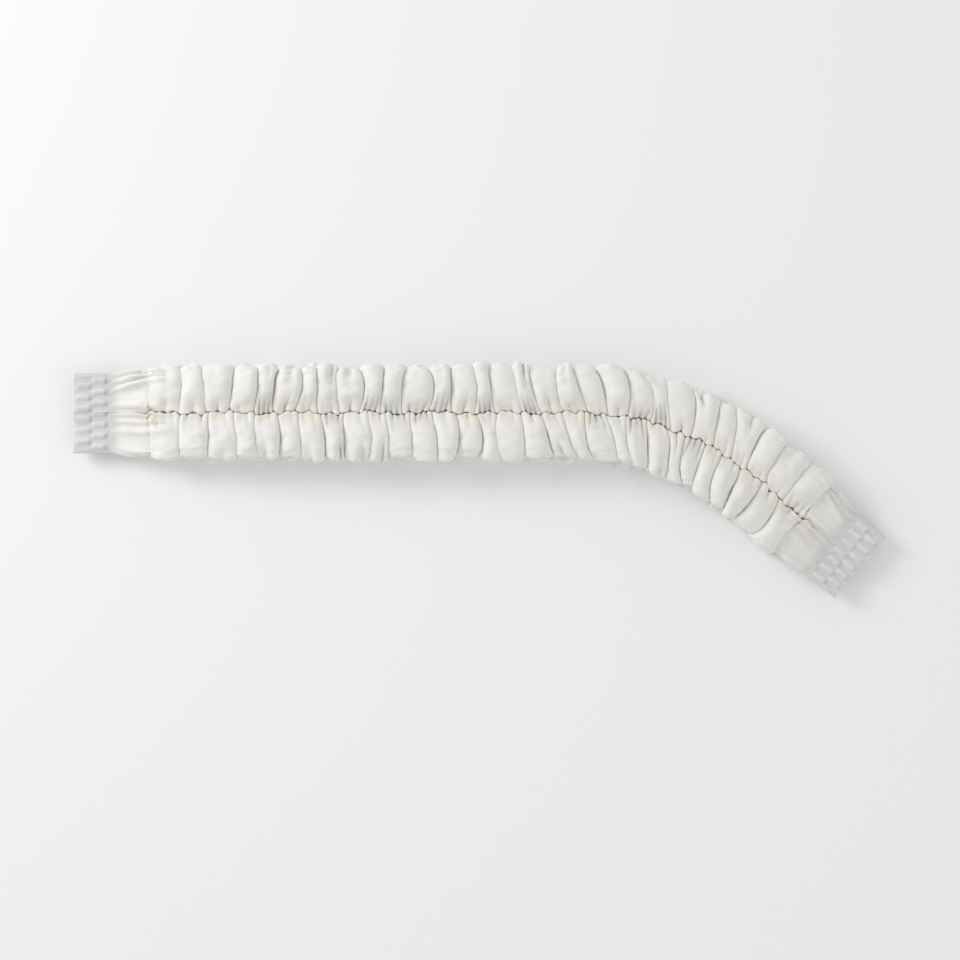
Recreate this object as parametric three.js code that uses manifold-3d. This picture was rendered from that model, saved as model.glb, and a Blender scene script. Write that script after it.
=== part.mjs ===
// A folded disposable cap: one sheet of white nonwoven, pleated into a narrow strip, gathered into
// puffs by an elastic in each of its two long hems, and welded flat at both ends.
// Millimetres, +Z up. The strip lies on its flattened underside along X, hems and slit on top,
// and its +X end turns towards -Y. The origin is the middle of its footprint, on the surface.
import * as THREE from "three";
import { mergeVertices } from "three/addons/utils/BufferGeometryUtils.js";
import Module from "manifold-3d";

// Driving dimensions of the strip
const STRIP_LENGTH = 206; // cut edge to cut edge, along the middle
const STRIP_WIDTH = 26;
const STRIP_HEIGHT = 12;
const WALL = 1.4; // the sheet, in a section square to the strip

// Gathers
const PUFF_COUNT = 28;
const FAN_LENGTH = 10; // from a weld to the first gather, where the puffs fan out flat
const SCALLOP = 1.3; // how far the strip's edges draw in between puffs
const CREST_START = 0.34; // a puff's flat top, as shares of its own length
const CREST_END = 0.66;

// Welded ends
const TAB_LENGTH = 9;
const TAB_WIDTH = 20;
const TAB_THICKNESS = 1.9;
const TAB_BOTTOM = 2.7; // above the surface that the strip lies on
const WELD_GRIP = 1.6; // how far the folded sheet runs into the fused tab

// The weld's ladder of pressed bars
const BAR_ROWS = 7;
const BAR_COLUMNS = 2;
const BAR_LENGTH = 2.9;
const BAR_WIDTH = 1.3;
const BAR_DEPTH = 0.4;
const BAR_PITCH_ALONG = 3.7;
const BAR_PITCH_ACROSS = 2.75;

// The turn of the +X end
const BEND_START = 124;
const BEND_RADIUS = 68;
const BEND_ANGLE = THREE.MathUtils.degToRad(40);

// Elastic, a flat band inside each hem
const ELASTIC_WIDTH = 2.6;
const ELASTIC_THICKNESS = 0.6;
const ELASTIC_ACROSS = 3.4; // its middle, from the slit
const ELASTIC_HEIGHT = 7.25; // its middle, above the surface

// Half of the folded section, from the free end of the hem, round the slit, over the top flap, in and
// out of one pleat, to the middle of the underside. across is a share of the half width. valley and
// crest are shares of the height, between two puffs and on top of one.
const FOLDS = [
  { fold: "hem_end", across: 0.42, valley: 0.49, crest: 0.49 },
  { fold: "hem_under", across: 0.13, valley: 0.49, crest: 0.49 },
  { fold: "slit_edge", across: 0.08, valley: 0.62, crest: 0.62 },
  { fold: "hem_over", across: 0.14, valley: 0.745, crest: 0.745 },
  { fold: "flap_inner", across: 0.4, valley: 0.735, crest: 0.93 },
  { fold: "flap_crown", across: 0.68, valley: 0.72, crest: 1 },
  { fold: "flap_shoulder", across: 0.9, valley: 0.67, crest: 0.91 },
  { fold: "upper_edge", across: 1, valley: 0.58, crest: 0.76 },
  { fold: "upper_return", across: 0.9, valley: 0.475, crest: 0.61 },
  { fold: "pleat_upper", across: 0.57, valley: 0.475, crest: 0.6 },
  { fold: "pleat_lower", across: 0.57, valley: 0.275, crest: 0.32 },
  { fold: "lower_return", across: 0.9, valley: 0.275, crest: 0.32 },
  { fold: "lower_edge", across: 1, valley: 0.17, crest: 0.15 },
  { fold: "under_shoulder", across: 0.9, valley: 0.07, crest: 0 },
];
const UNDER_MIDDLE = { fold: "under_middle", across: 0, valley: 0.07, crest: 0 };

const CLOTH = { color: 0xe4e2de, roughness: 0.88, metalness: 0 };
const RUBBER = { color: 0xe6dcc2, roughness: 0.6, metalness: 0 };

// Sizes that follow from those above
const HALF_WIDTH = (STRIP_WIDTH - WALL) / 2; // to the middle of the sheet
const LOWEST = WALL / 2;
const SPAN = STRIP_HEIGHT - WALL;
const GATHER_START = TAB_LENGTH + FAN_LENGTH;
const PUFF_LENGTH = (STRIP_LENGTH - 2 * GATHER_START) / PUFF_COUNT;
const SQUEEZE = TAB_THICKNESS / STRIP_HEIGHT; // the folds' height in a weld, as a share of their own
const PINCH = TAB_WIDTH / STRIP_WIDTH; // and their width
const SECTION = [
  ...FOLDS.map((row) => ({ ...row, side: 1 })),
  { ...UNDER_MIDDLE, side: 1 },
  ...FOLDS.toReversed().map((row) => ({ ...row, side: -1 })),
];

const wasm = await Module();
wasm.setup();

// The strip's middle line on the surface: straight, then an arc, then straight again.
function makeMiddle() {
  const arc = BEND_RADIUS * BEND_ANGLE;
  const rest = STRIP_LENGTH - BEND_START - arc;
  const turnX = BEND_START + BEND_RADIUS * Math.sin(BEND_ANGLE);
  const turnY = -BEND_RADIUS * (1 - Math.cos(BEND_ANGLE));
  const path = new THREE.Path();
  path.moveTo(0, 0).lineTo(BEND_START, 0);
  path.absarc(BEND_START, -BEND_RADIUS, BEND_RADIUS, Math.PI / 2, Math.PI / 2 - BEND_ANGLE, true);
  path.lineTo(turnX + rest * Math.cos(BEND_ANGLE), turnY - rest * Math.sin(BEND_ANGLE));
  return path;
}

const middle = makeMiddle();

// The frame of the strip at a length s along it: x along the strip, y across it, z up.
function frameAt(s) {
  const share = THREE.MathUtils.clamp(s / STRIP_LENGTH, 0, 1);
  const point = middle.getPointAt(share);
  const heading = middle.getTangentAt(share).angle();
  return new THREE.Matrix4().makeRotationZ(heading).setPosition(point.x, point.y, 0);
}

// Where the sheet has a section: in each weld, down each fan, and three times along each puff.
// crest is 0 between two puffs and 1 on top of one. spread is 0 in a weld and 1 in the gathers.
function makeStations() {
  const fan = [0, 0.3, 0.65].map((t) => ({
    s: TAB_LENGTH + t * FAN_LENGTH,
    crest: 0.5 * (1 - t),
    spread: THREE.MathUtils.smoothstep(t, 0, 1),
  }));
  const start = [{ s: TAB_LENGTH - WELD_GRIP, crest: 0.5, spread: 0 }, ...fan];
  const puffs = [];
  for (let puff = 0; puff < PUFF_COUNT; puff++) {
    const s = GATHER_START + puff * PUFF_LENGTH;
    puffs.push({ s, crest: 0, spread: 1 });
    puffs.push({ s: s + CREST_START * PUFF_LENGTH, crest: 1, spread: 1 });
    puffs.push({ s: s + CREST_END * PUFF_LENGTH, crest: 1, spread: 1 });
  }
  puffs.push({ s: STRIP_LENGTH - GATHER_START, crest: 0, spread: 1 });
  const end = start.map((row) => ({ ...row, s: STRIP_LENGTH - row.s })).toReversed();
  return [...start, ...puffs, ...end];
}

// A point of the section, given in the gathers, drawn in towards the weld as spread falls to 0.
function drawIn(across, height, spread) {
  const squeeze = THREE.MathUtils.lerp(SQUEEZE, 1, spread);
  const pinch = THREE.MathUtils.lerp(PINCH, 1, spread);
  const level = THREE.MathUtils.lerp(TAB_BOTTOM, 0, spread);
  return new THREE.Vector2(across * pinch, level + height * squeeze);
}

// The middle of the sheet in one section, as 2D points (across, up).
function sectionLine({ crest, spread }) {
  return SECTION.map((row) => {
    const drawn = SCALLOP * row.across ** 2 * (1 - crest);
    const share = THREE.MathUtils.lerp(row.valley, row.crest, crest);
    return drawIn(row.side * (row.across * HALF_WIDTH - drawn), LOWEST + share * SPAN, spread);
  });
}

// The line moved sideways by a distance, mitred at its corners; left of its direction is positive.
function offsetLine(line, distance) {
  const normals = line.slice(1).map((point, i) => {
    const step = point.clone().sub(line[i]).normalize();
    return new THREE.Vector2(-step.y, step.x);
  });
  return line.map((point, i) => {
    const before = normals[Math.max(i - 1, 0)];
    const after = normals[Math.min(i, normals.length - 1)];
    const mitre = before.clone().add(after);
    return point.clone().addScaledVector(mitre, (2 * distance) / Math.max(mitre.lengthSq(), 1));
  });
}

// A closed loop round the sheet in one section: along its outer side and back along its inner side.
function sheetLoop(station) {
  const line = sectionLine(station);
  const half = (WALL / 2) * THREE.MathUtils.lerp(SQUEEZE, 1, station.spread);
  return [...offsetLine(line, half), ...offsetLine(line, -half).toReversed()];
}

// Skins a list of closed loops of the same number of points, each in its own frame, into a solid.
// caps gives the quads that close the first and last loop, as index lists that run round the loop.
function loft(loops, frames, caps) {
  const count = loops[0].length;
  const positions = loops.flatMap((loop, i) =>
    loop.flatMap((p) => new THREE.Vector3(0, p.x, p.y).applyMatrix4(frames[i]).toArray()),
  );
  const index = [];
  const quad = (a, b, c, d) => index.push(a, b, c, a, c, d);
  for (let i = 0; i + 1 < loops.length; i++) {
    for (let j = 0; j < count; j++) {
      const next = (j + 1) % count;
      quad(i * count + j, (i + 1) * count + j, (i + 1) * count + next, i * count + next);
    }
  }
  const last = (loops.length - 1) * count;
  for (const [a, b, c, d] of caps) {
    quad(a, b, c, d);
    quad(last + d, last + c, last + b, last + a);
  }
  return solidOf(new THREE.BufferGeometry()
    .setAttribute("position", new THREE.Float32BufferAttribute(positions, 3))
    .setIndex(index));
}

// A closed three.js geometry as a manifold solid, facing out.
function solidOf(geometry) {
  const bare = geometry.clone();
  bare.deleteAttribute("normal");
  bare.deleteAttribute("uv");
  const merged = mergeVertices(bare, 1e-4);
  const triVerts = new Uint32Array(merged.index.array);
  const vertProperties = merged.attributes.position.array;
  const solid = new wasm.Manifold(new wasm.Mesh({ numProp: 3, vertProperties, triVerts }));
  if (solid.volume() >= 0) return solid;
  return new wasm.Manifold(
    new wasm.Mesh({ numProp: 3, vertProperties, triVerts: triVerts.toReversed() }),
  );
}

// A manifold solid as a named three.js mesh.
function meshOf(name, solid, finish) {
  const { vertProperties, triVerts } = solid.getMesh();
  const geometry = new THREE.BufferGeometry()
    .setAttribute("position", new THREE.BufferAttribute(vertProperties, 3))
    .setIndex(new THREE.BufferAttribute(triVerts, 1));
  geometry.computeVertexNormals();
  const mesh = new THREE.Mesh(geometry, new THREE.MeshStandardMaterial(finish));
  mesh.name = name;
  return mesh;
}

// The pleated and gathered sheet between its two welds.
function makeSheet() {
  const stations = makeStations();
  const loops = stations.map(sheetLoop);
  const count = loops[0].length;
  const caps = SECTION.slice(1).map((_, i) => [i, i + 1, count - 2 - i, count - 1 - i]);
  return loft(loops, stations.map(({ s }) => frameAt(s)), caps);
}

// One fused end, with the ladder of bars that the weld pressed into its upper face. It is made with
// its cut edge on x = 0 and reaches towards +X.
function makeTab() {
  const block = new THREE.BoxGeometry(TAB_LENGTH, TAB_WIDTH, TAB_THICKNESS);
  block.translate(TAB_LENGTH / 2, 0, TAB_BOTTOM + TAB_THICKNESS / 2);
  let tab = solidOf(block);
  for (let row = 0; row < BAR_ROWS; row++) {
    for (let column = 0; column < BAR_COLUMNS; column++) {
      const x = TAB_LENGTH / 2 + (column - (BAR_COLUMNS - 1) / 2) * BAR_PITCH_ALONG;
      const y = (row - (BAR_ROWS - 1) / 2) * BAR_PITCH_ACROSS;
      const bar = new THREE.BoxGeometry(BAR_LENGTH, BAR_WIDTH, 2 * BAR_DEPTH);
      tab = tab.subtract(solidOf(bar.translate(x, y, TAB_BOTTOM + TAB_THICKNESS)));
    }
  }
  return tab;
}

// The whole sheet is one piece: the welds are the sheet itself, fused.
function makeCrown() {
  const tab = makeTab();
  const farEnd = frameAt(STRIP_LENGTH).multiply(new THREE.Matrix4().makeRotationZ(Math.PI));
  return makeSheet().add(tab).add(tab.transform(farEnd.elements));
}

// The band in one hem, from fan to fan. side is 1 for the hem on +Y and -1 for the other.
function makeElastic(side) {
  const stations = makeStations().filter(({ crest, spread }) => crest < 0.5 && spread > 0.5);
  const corners = [[-1, -1], [1, -1], [1, 1], [-1, 1]];
  const loops = stations.map(({ spread }) => corners.map(([a, b]) => drawIn(
    side * ELASTIC_ACROSS + (a * ELASTIC_WIDTH) / 2,
    ELASTIC_HEIGHT + (b * ELASTIC_THICKNESS) / 2,
    spread,
  )));
  return loft(loops, stations.map(({ s }) => frameAt(s)), [[0, 1, 2, 3]]);
}

function makeCap() {
  const strip = new THREE.Group();
  strip.add(meshOf("crown", makeCrown(), CLOTH));
  strip.add(meshOf("elastic_back", makeElastic(1), RUBBER));
  strip.add(meshOf("elastic_front", makeElastic(-1), RUBBER));
  const box = new THREE.Box3().setFromObject(strip);
  const centre = box.getCenter(new THREE.Vector3());
  strip.position.set(-centre.x, -centre.y, -box.min.z);
  return new THREE.Group().add(strip);
}

export default makeCap();
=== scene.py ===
"""A folded disposable cap: white nonwoven, pleated, gathered on two hem elastics, welded at the ends.

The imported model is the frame. Its plain solids are replaced by a modelled sheet and two modelled
elastics, in metres, in the same frame. Each shape is a numpy surface on a grid: columns stand one
after another along the strip, and rows follow the folded section across it.
"""

from __future__ import annotations

import logging
import math
from dataclasses import dataclass, field
from enum import Enum

import bpy
import numpy as np
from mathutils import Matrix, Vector


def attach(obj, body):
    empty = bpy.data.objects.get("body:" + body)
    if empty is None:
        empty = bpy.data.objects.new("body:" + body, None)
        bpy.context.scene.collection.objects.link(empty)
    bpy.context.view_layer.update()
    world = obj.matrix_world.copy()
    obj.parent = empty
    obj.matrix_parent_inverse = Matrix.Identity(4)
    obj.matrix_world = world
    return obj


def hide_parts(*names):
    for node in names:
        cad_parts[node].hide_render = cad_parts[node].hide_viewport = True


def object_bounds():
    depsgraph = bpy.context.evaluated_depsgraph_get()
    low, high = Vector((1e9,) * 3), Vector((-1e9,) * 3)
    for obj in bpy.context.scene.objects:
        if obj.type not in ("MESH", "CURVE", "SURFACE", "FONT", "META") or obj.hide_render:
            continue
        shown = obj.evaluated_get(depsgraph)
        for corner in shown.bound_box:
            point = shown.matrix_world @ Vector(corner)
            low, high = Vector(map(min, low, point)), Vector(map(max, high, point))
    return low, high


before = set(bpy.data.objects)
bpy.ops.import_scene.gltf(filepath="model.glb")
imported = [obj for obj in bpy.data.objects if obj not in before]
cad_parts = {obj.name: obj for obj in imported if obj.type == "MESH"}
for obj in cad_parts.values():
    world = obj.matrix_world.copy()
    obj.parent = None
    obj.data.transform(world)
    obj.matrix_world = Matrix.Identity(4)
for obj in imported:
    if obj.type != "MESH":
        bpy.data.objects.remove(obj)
CAD_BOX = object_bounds()

LOG = logging.getLogger("folded_cap")
MM = 0.001
TINY = 1e-12
FLAT_MAP = "flat"

Range = tuple[float, float]
Colour = tuple[float, float, float]
Grid = dict[str, np.ndarray]
Socket = bpy.types.NodeSocket


def mix(low: np.ndarray | float, high: np.ndarray | float, share: np.ndarray | float) -> np.ndarray:
    """Straight blend from low, at share 0, to high, at share 1."""
    return low + (high - low) * share


def ease(low: float, high: float, value: np.ndarray) -> np.ndarray:
    """Smooth step from 0 at low to 1 at high, with level ends."""
    share = np.clip((value - low) / (high - low), 0.0, 1.0)
    return share * share * (3.0 - 2.0 * share)


def arch(share: np.ndarray) -> np.ndarray:
    """Parabola that is 0 at shares 0 and 1 and 1 halfway between them."""
    return 4.0 * share * (1.0 - share)


def bell(value: np.ndarray, width: np.ndarray | float) -> np.ndarray:
    """Bell curve that is 1 at value 0 and about a third at the width."""
    return np.exp(-((value / width) ** 2))


class Side(Enum):
    """The two halves of the strip, on either side of the slit between its hems."""

    FRONT = -1
    BACK = 1


@dataclass(frozen=True)
class Wave:
    """One sine: its size, its rate in radians a millimetre, and its phase."""

    size: float
    rate: float
    phase: float = 0.0

    def at(self, distance: np.ndarray) -> np.ndarray:
        """Size times the sine of rate times millimetres plus phase, at distances in metres."""
        return self.size * np.sin(distance / MM * self.rate + self.phase)


@dataclass(frozen=True)
class Ripple:
    """Dents all over a sheet: a mean of sharp-sided waves of random heading and phase."""

    seed: int
    size: float
    shortest: float
    longest: float
    count: int = 14

    def at(self, along: np.ndarray, across: np.ndarray) -> np.ndarray:
        """Heights of the dents, around 0.

        Each wave is 1 - 2|sin|, so that its crests are creases rather than swells.

        Args:
            along: place along the sheet.
            across: place across the sheet.

        Returns:
            A grid of heights of about the ripple's size.
        """
        rng = np.random.default_rng(self.seed)
        rates = math.pi / rng.uniform(self.shortest, self.longest, self.count)
        headings = rng.uniform(0.0, math.pi, self.count)
        phases = rng.uniform(0.0, 2.0 * math.pi, self.count)
        total = np.zeros(along.shape)
        for rate, heading, phase in zip(rates, headings, phases):
            way = along * math.cos(heading) + across * math.sin(heading)
            total += 1.0 - 2.0 * np.abs(np.sin(rate * way + phase))
        return self.size * total / math.sqrt(self.count)


@dataclass(frozen=True)
class StripLine:
    """Middle line of the strip on the surface: straight, then an arc, then straight again."""

    length: float = 206 * MM
    width: float = 26 * MM
    bend_start: float = 124 * MM
    bend_radius: float = 68 * MM
    bend_angle: float = math.radians(40)
    tab_length: float = 9 * MM
    tab_height: float = 3.6 * MM
    fan_length: float = 10 * MM
    settle_length: float = 18 * MM
    settle_share: float = 0.62
    start_x: float = CAD_BOX[0].x
    back_edge_y: float = CAD_BOX[1].y

    @property
    def half_width(self) -> float:
        """Distance from the middle line to the strip's edge."""
        return self.width / 2

    def from_cut(self, along: np.ndarray) -> np.ndarray:
        """Distance from the nearer cut edge."""
        return np.minimum(along, self.length - along)

    def spread(self, along: np.ndarray) -> np.ndarray:
        """How far the layers have opened out of a weld: 0 in it, 1 where the puffs begin."""
        return ease(self.tab_length, self.tab_length + self.fan_length, self.from_cut(along))

    def settle(self, along: np.ndarray) -> np.ndarray:
        """Share of the full height that the stack of layers has, which is less near the welds."""
        full = self.tab_length + self.fan_length + self.settle_length
        return mix(self.settle_share, 1.0, ease(self.tab_length, full, self.from_cut(along)))

    def place(self, along: np.ndarray, across: np.ndarray, up: np.ndarray) -> np.ndarray:
        """Points of the row frame from distances along, across and above the middle line.

        The line's heading is minus the turn, which grows from 0 to bend_angle along the arc.
        A point is the line's point plus across times the line's left normal.

        Args:
            along: distance from the start of the strip, in metres.
            across: distance to the left of the middle line.
            up: height above the surface.

        Returns:
            An array of the inputs' shape with x, y and z on a last axis.
        """
        turn = np.clip((along - self.bend_start) / self.bend_radius, 0.0, self.bend_angle)
        rest = np.maximum(along - self.bend_start - self.bend_radius * self.bend_angle, 0.0)
        line_x = np.minimum(along, self.bend_start) + self.bend_radius * np.sin(turn)
        line_x = line_x + rest * math.cos(self.bend_angle)
        line_y = -self.bend_radius * (1.0 - np.cos(turn)) - rest * math.sin(self.bend_angle)
        x = self.start_x + line_x + across * np.sin(turn)
        y = self.back_edge_y - self.half_width + line_y + across * np.cos(turn)
        return np.stack(np.broadcast_arrays(x, y, up), axis=-1)


@dataclass
class PuffRow:
    """The puffs of one half of the strip, drawn from a seed.

    A border is the crease between two puffs. Borders have a place, a slant, a bow, a floor, which is
    how far the crease stays open, and a stagger of each lower fold. Puffs have a height, a tilt, a
    reach for each outer fold, a number of puckers at the hem, and a nick in their outer edge.
    """

    seed: int
    count: int
    start: float
    end: float
    folds: int
    lean: float
    width_spread: float = 0.075
    end_swell: float = 0.45
    end_puffs: float = 1.2
    slant_spread: float = 0.065
    lean_begins: Range = (0.4, 0.65)
    lean_ends: Range = (0.85, 1.0)
    bow_spread: float = 0.6 * MM
    floor_low: float = 0.24
    floor_rise: float = 0.46
    floor_power: float = 1.4
    stagger_spread: float = 0.9 * MM
    height_range: Range = (0.82, 1.0)
    tilt_shared: float = 1.4 * MM
    tilt_own: float = 0.2 * MM
    tilt_group: int = 5
    reach_range: Range = (0.88, 1.0)
    splits_range: tuple[int, int] = (2, 4)
    split_reach_range: Range = (0.16, 0.46)
    nick_range: Range = (-0.45, 0.4)
    nick_place_range: Range = (0.3, 0.7)
    border: np.ndarray = field(init=False)
    slant: np.ndarray = field(init=False)
    bow: np.ndarray = field(init=False)
    floor: np.ndarray = field(init=False)
    stagger: np.ndarray = field(init=False)
    height: np.ndarray = field(init=False)
    tilt: np.ndarray = field(init=False)
    reach: np.ndarray = field(init=False)
    splits: np.ndarray = field(init=False)
    split_reach: np.ndarray = field(init=False)
    nick: np.ndarray = field(init=False)
    nick_place: np.ndarray = field(init=False)

    def __post_init__(self) -> None:
        """Draws the borders, then the puffs."""
        rng = np.random.default_rng(self.seed)
        self.draw_borders(rng)
        self.draw_puffs(rng)

    def draw_borders(self, rng: np.random.Generator) -> None:
        """Draws the creases: puffs are near even in width, and wider at both ends of the row.

        Args:
            rng: the row's source of random numbers.
        """
        borders = self.count + 1
        index = np.arange(self.count)
        widths = np.exp(rng.normal(0.0, self.width_spread, self.count))
        ends = np.exp(-index / self.end_puffs) + np.exp(-index[::-1] / self.end_puffs)
        widths += self.end_swell * ends
        places = np.concatenate([[0.0], np.cumsum(widths) / widths.sum()])
        self.border = self.start + (self.end - self.start) * places
        self.slant = rng.normal(0.0, self.slant_spread, borders)
        self.slant += self.lean * ease(*self.lean_begins, places) * (1.0 - ease(*self.lean_ends, places))
        self.bow = rng.normal(0.0, self.bow_spread, borders)
        openness = rng.uniform(0.0, 1.0, borders) ** self.floor_power
        self.floor = self.floor_low + self.floor_rise * openness
        self.stagger = rng.normal(0.0, self.stagger_spread, (borders, self.folds))
        self.stagger[:, 0] = 0.0

    def draw_puffs(self, rng: np.random.Generator) -> None:
        """Draws the puffs; a tilt is mostly shared with the neighbours.

        Args:
            rng: the row's source of random numbers.
        """
        self.height = rng.uniform(*self.height_range, self.count)
        window = np.ones(self.tilt_group) / self.tilt_group
        shared = np.convolve(rng.normal(0.0, 1.0, self.count + self.tilt_group - 1), window, "valid")
        self.tilt = self.tilt_shared * shared + rng.normal(0.0, self.tilt_own, self.count)
        self.reach = rng.uniform(*self.reach_range, (self.count, self.folds))
        fewest, most = self.splits_range
        self.splits = rng.integers(fewest, most + 1, self.count)
        self.split_reach = rng.uniform(*self.split_reach_range, self.count)
        self.nick = np.maximum(rng.uniform(*self.nick_range, self.count), 0.0)
        self.nick_place = rng.uniform(*self.nick_place_range, self.count)


@dataclass(frozen=True)
class FoldChart:
    """The folded section as a line in a chart: share of the half width, and share of the height.

    Each half runs from the free end of the hem, round the slit edge, over the top flap, then in and
    out through the pleats to the middle of the underside. Flat layers are joined by half ellipses.
    """

    layer_levels: tuple[float, ...] = (1.0, 0.79, 0.655, 0.455, 0.325, 0.0)
    hem_level: float = 0.70
    hem_end: float = 0.34
    slit_fold: float = 0.032
    slit_edge: float = 0.009
    slit_bulge: float = 0.35
    slit_lift: float = 0.4
    outer_fold: float = 0.90
    inner_fold: float = 0.50
    inner_edge: float = 0.44
    hem_steps: int = 1
    slit_steps: int = 4
    flap_steps: int = 26
    outer_steps: int = 5
    inner_steps: int = 2
    under_steps: int = 2

    @property
    def outer_folds(self) -> int:
        """Number of outer folds on each side of the strip."""
        return len(self.layer_levels) // 2

    @staticmethod
    def fold(
        across: float,
        edge: float,
        low: float,
        high: float,
        steps: int,
        bulge: float = 1.0,
        lift: float = 1.0,
    ) -> np.ndarray:
        """A fold from level low to level high at one place across, bulging out to its edge.

        The bulge goes with sin(a)^bulge, and the level with (1 / 2 - cos(a) / 2)^lift, a from 0 to pi.

        Args:
            across: where both layers meet the fold.
            edge: how far the fold bulges.
            low: level at its start.
            high: level at its end.
            steps: number of intervals.
            bulge: 1 for a half ellipse, less for a fold that is pressed flat against another.
            lift: 1 for a half ellipse, less for a fold whose edge lies nearer to its end's level.

        Returns:
            Points (across, level) from start to end.
        """
        angle = np.linspace(0.0, math.pi, steps + 1)
        level = mix(low, high, (0.5 - 0.5 * np.cos(angle)) ** lift)
        out = np.clip(np.sin(angle), 0.0, 1.0) ** bulge
        return np.stack([across + (edge - across) * out, level], axis=-1)

    def half(self) -> tuple[np.ndarray, np.ndarray]:
        """One half of the section.

        Returns:
            Points (across, level) from the hem's end to the middle of the underside, and the number
            of the outer fold that each point is nearest to.
        """
        levels = self.layer_levels
        hem_ends = ((self.hem_end, self.hem_level), (self.slit_fold, self.hem_level))
        runs = [np.linspace(*hem_ends, self.hem_steps + 1)[:-1]]
        lip = (self.slit_fold, self.slit_edge, self.hem_level, 1.0, self.slit_steps)
        runs.append(self.fold(*lip, self.slit_bulge, self.slit_lift))
        flap = np.linspace((self.slit_fold, 1.0), (self.outer_fold, 1.0), self.flap_steps + 1)
        runs.append(flap[1:-1])
        owner = [0] * sum(len(run) for run in runs)
        for layer, (upper, lower) in enumerate(zip(levels, levels[1:])):
            outer = layer % 2 == 0
            place = self.outer_fold if outer else self.inner_fold
            edge = 1.0 if outer else self.inner_edge
            steps = self.outer_steps if outer else self.inner_steps
            runs.append(self.fold(place, edge, upper, lower, steps))
            owner += [(layer + 1) // 2] * len(runs[-1])
        under = np.linspace((self.outer_fold, levels[-1]), (0.0, levels[-1]), self.under_steps + 1)
        runs.append(under[1:])
        owner += [self.outer_folds - 1] * len(runs[-1])
        return np.concatenate(runs), np.array(owner)


@dataclass(frozen=True)
class Crumple:
    """Lets a sheet grow a little inside its shape, so that it wrinkles as gathered cloth does."""

    rounds: int = 260
    stretch: float = 0.22
    smooth: float = 0.045
    pull: float = 0.003
    start: float = 0.06 * MM
    seed: int = 7

    def relax(
        self,
        points: np.ndarray,
        room: np.ndarray,
        growth: tuple[np.ndarray, np.ndarray],
    ) -> np.ndarray:
        """Moves points until neighbours are nearer to their grown distances.

        Each round pushes every pair of neighbours apart or together by a share of their error, evens
        the moves out between neighbours, which is the cloth's stiffness, draws them back a little and
        holds each move within its room.

        Args:
            points: grid of places.
            room: how far each may move.
            growth: how much longer the sheet is than its shape, along and across, at each point.

        Returns:
            The new grid of places.
        """
        rng = np.random.default_rng(self.seed)
        move = rng.normal(0.0, self.start, points.shape) * (room > 0.0)[..., None]
        first = {0: np.s_[:-1], 1: np.s_[:, :-1]}
        second = {0: np.s_[1:], 1: np.s_[:, 1:]}
        spans = {
            axis: np.linalg.norm(np.diff(points, axis=axis), axis=-1) * (1.0 + growth[axis][first[axis]])
            for axis in first
        }
        for _ in range(self.rounds):
            for axis, span in spans.items():
                gap = np.diff(points + move, axis=axis)
                size = np.maximum(np.linalg.norm(gap, axis=-1), TINY)
                push = gap * (self.stretch * (size - span) / size)[..., None]
                move[first[axis]] += push
                move[second[axis]] -= push
            move[1:-1] += self.smooth * (move[:-2] + move[2:] - 2.0 * move[1:-1])
            move[:, 1:-1] += self.smooth * (move[:, :-2] + move[:, 2:] - 2.0 * move[:, 1:-1])
            size = np.maximum(np.linalg.norm(move, axis=-1), TINY)
            move *= np.minimum(1.0 - self.pull, room / size)[..., None]
        return points + move


@dataclass(frozen=True)
class FlapProfile:
    """Heights of the top flap across half the strip, on the crest of a puff and in a crease."""

    crest_hem: float = 9.4 * MM
    crest_top: float = 11.7 * MM
    crest_edge: float = 10.6 * MM
    valley_hem: float = 8.7 * MM
    valley_edge: float = 6.2 * MM
    rise: Range = (0.02, 0.42)
    fall: Range = (0.6, 1.0)
    sink: Range = (0.02, 0.5)
    pucker: float = 0.85 * MM
    pucker_middle: float = 0.6
    notch: float = 2.2 * MM
    notch_from: float = 0.75
    notch_power: float = 1.2

    def top(self, out: np.ndarray, grid: Grid) -> np.ndarray:
        """Height of the flap: crest carries it from the valley line to the crest line.

        The crest line rises from the hem and falls to the edge. Puckers stand on it near the hem.

        Args:
            out: share of the half width.
            grid: the columns' grids.

        Returns:
            A grid of heights.
        """
        risen = mix(self.crest_hem, self.crest_top, ease(*self.rise, out))
        crest_line = mix(risen, self.crest_edge, ease(*self.fall, out))
        valley_line = mix(self.valley_hem, self.valley_edge, ease(*self.sink, out))
        puckers = bell(out, grid["split_reach"]) * (grid["split"] - self.pucker_middle)
        return mix(valley_line, crest_line, grid["crest"]) + self.pucker * puckers

    def bottom(self, crest: np.ndarray) -> np.ndarray:
        """Height of the underside: level under a puff, and raised where the crest is low."""
        low = np.clip((self.notch_from - crest) / self.notch_from, 0.0, 1.0)
        return self.notch * low**self.notch_power


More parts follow.
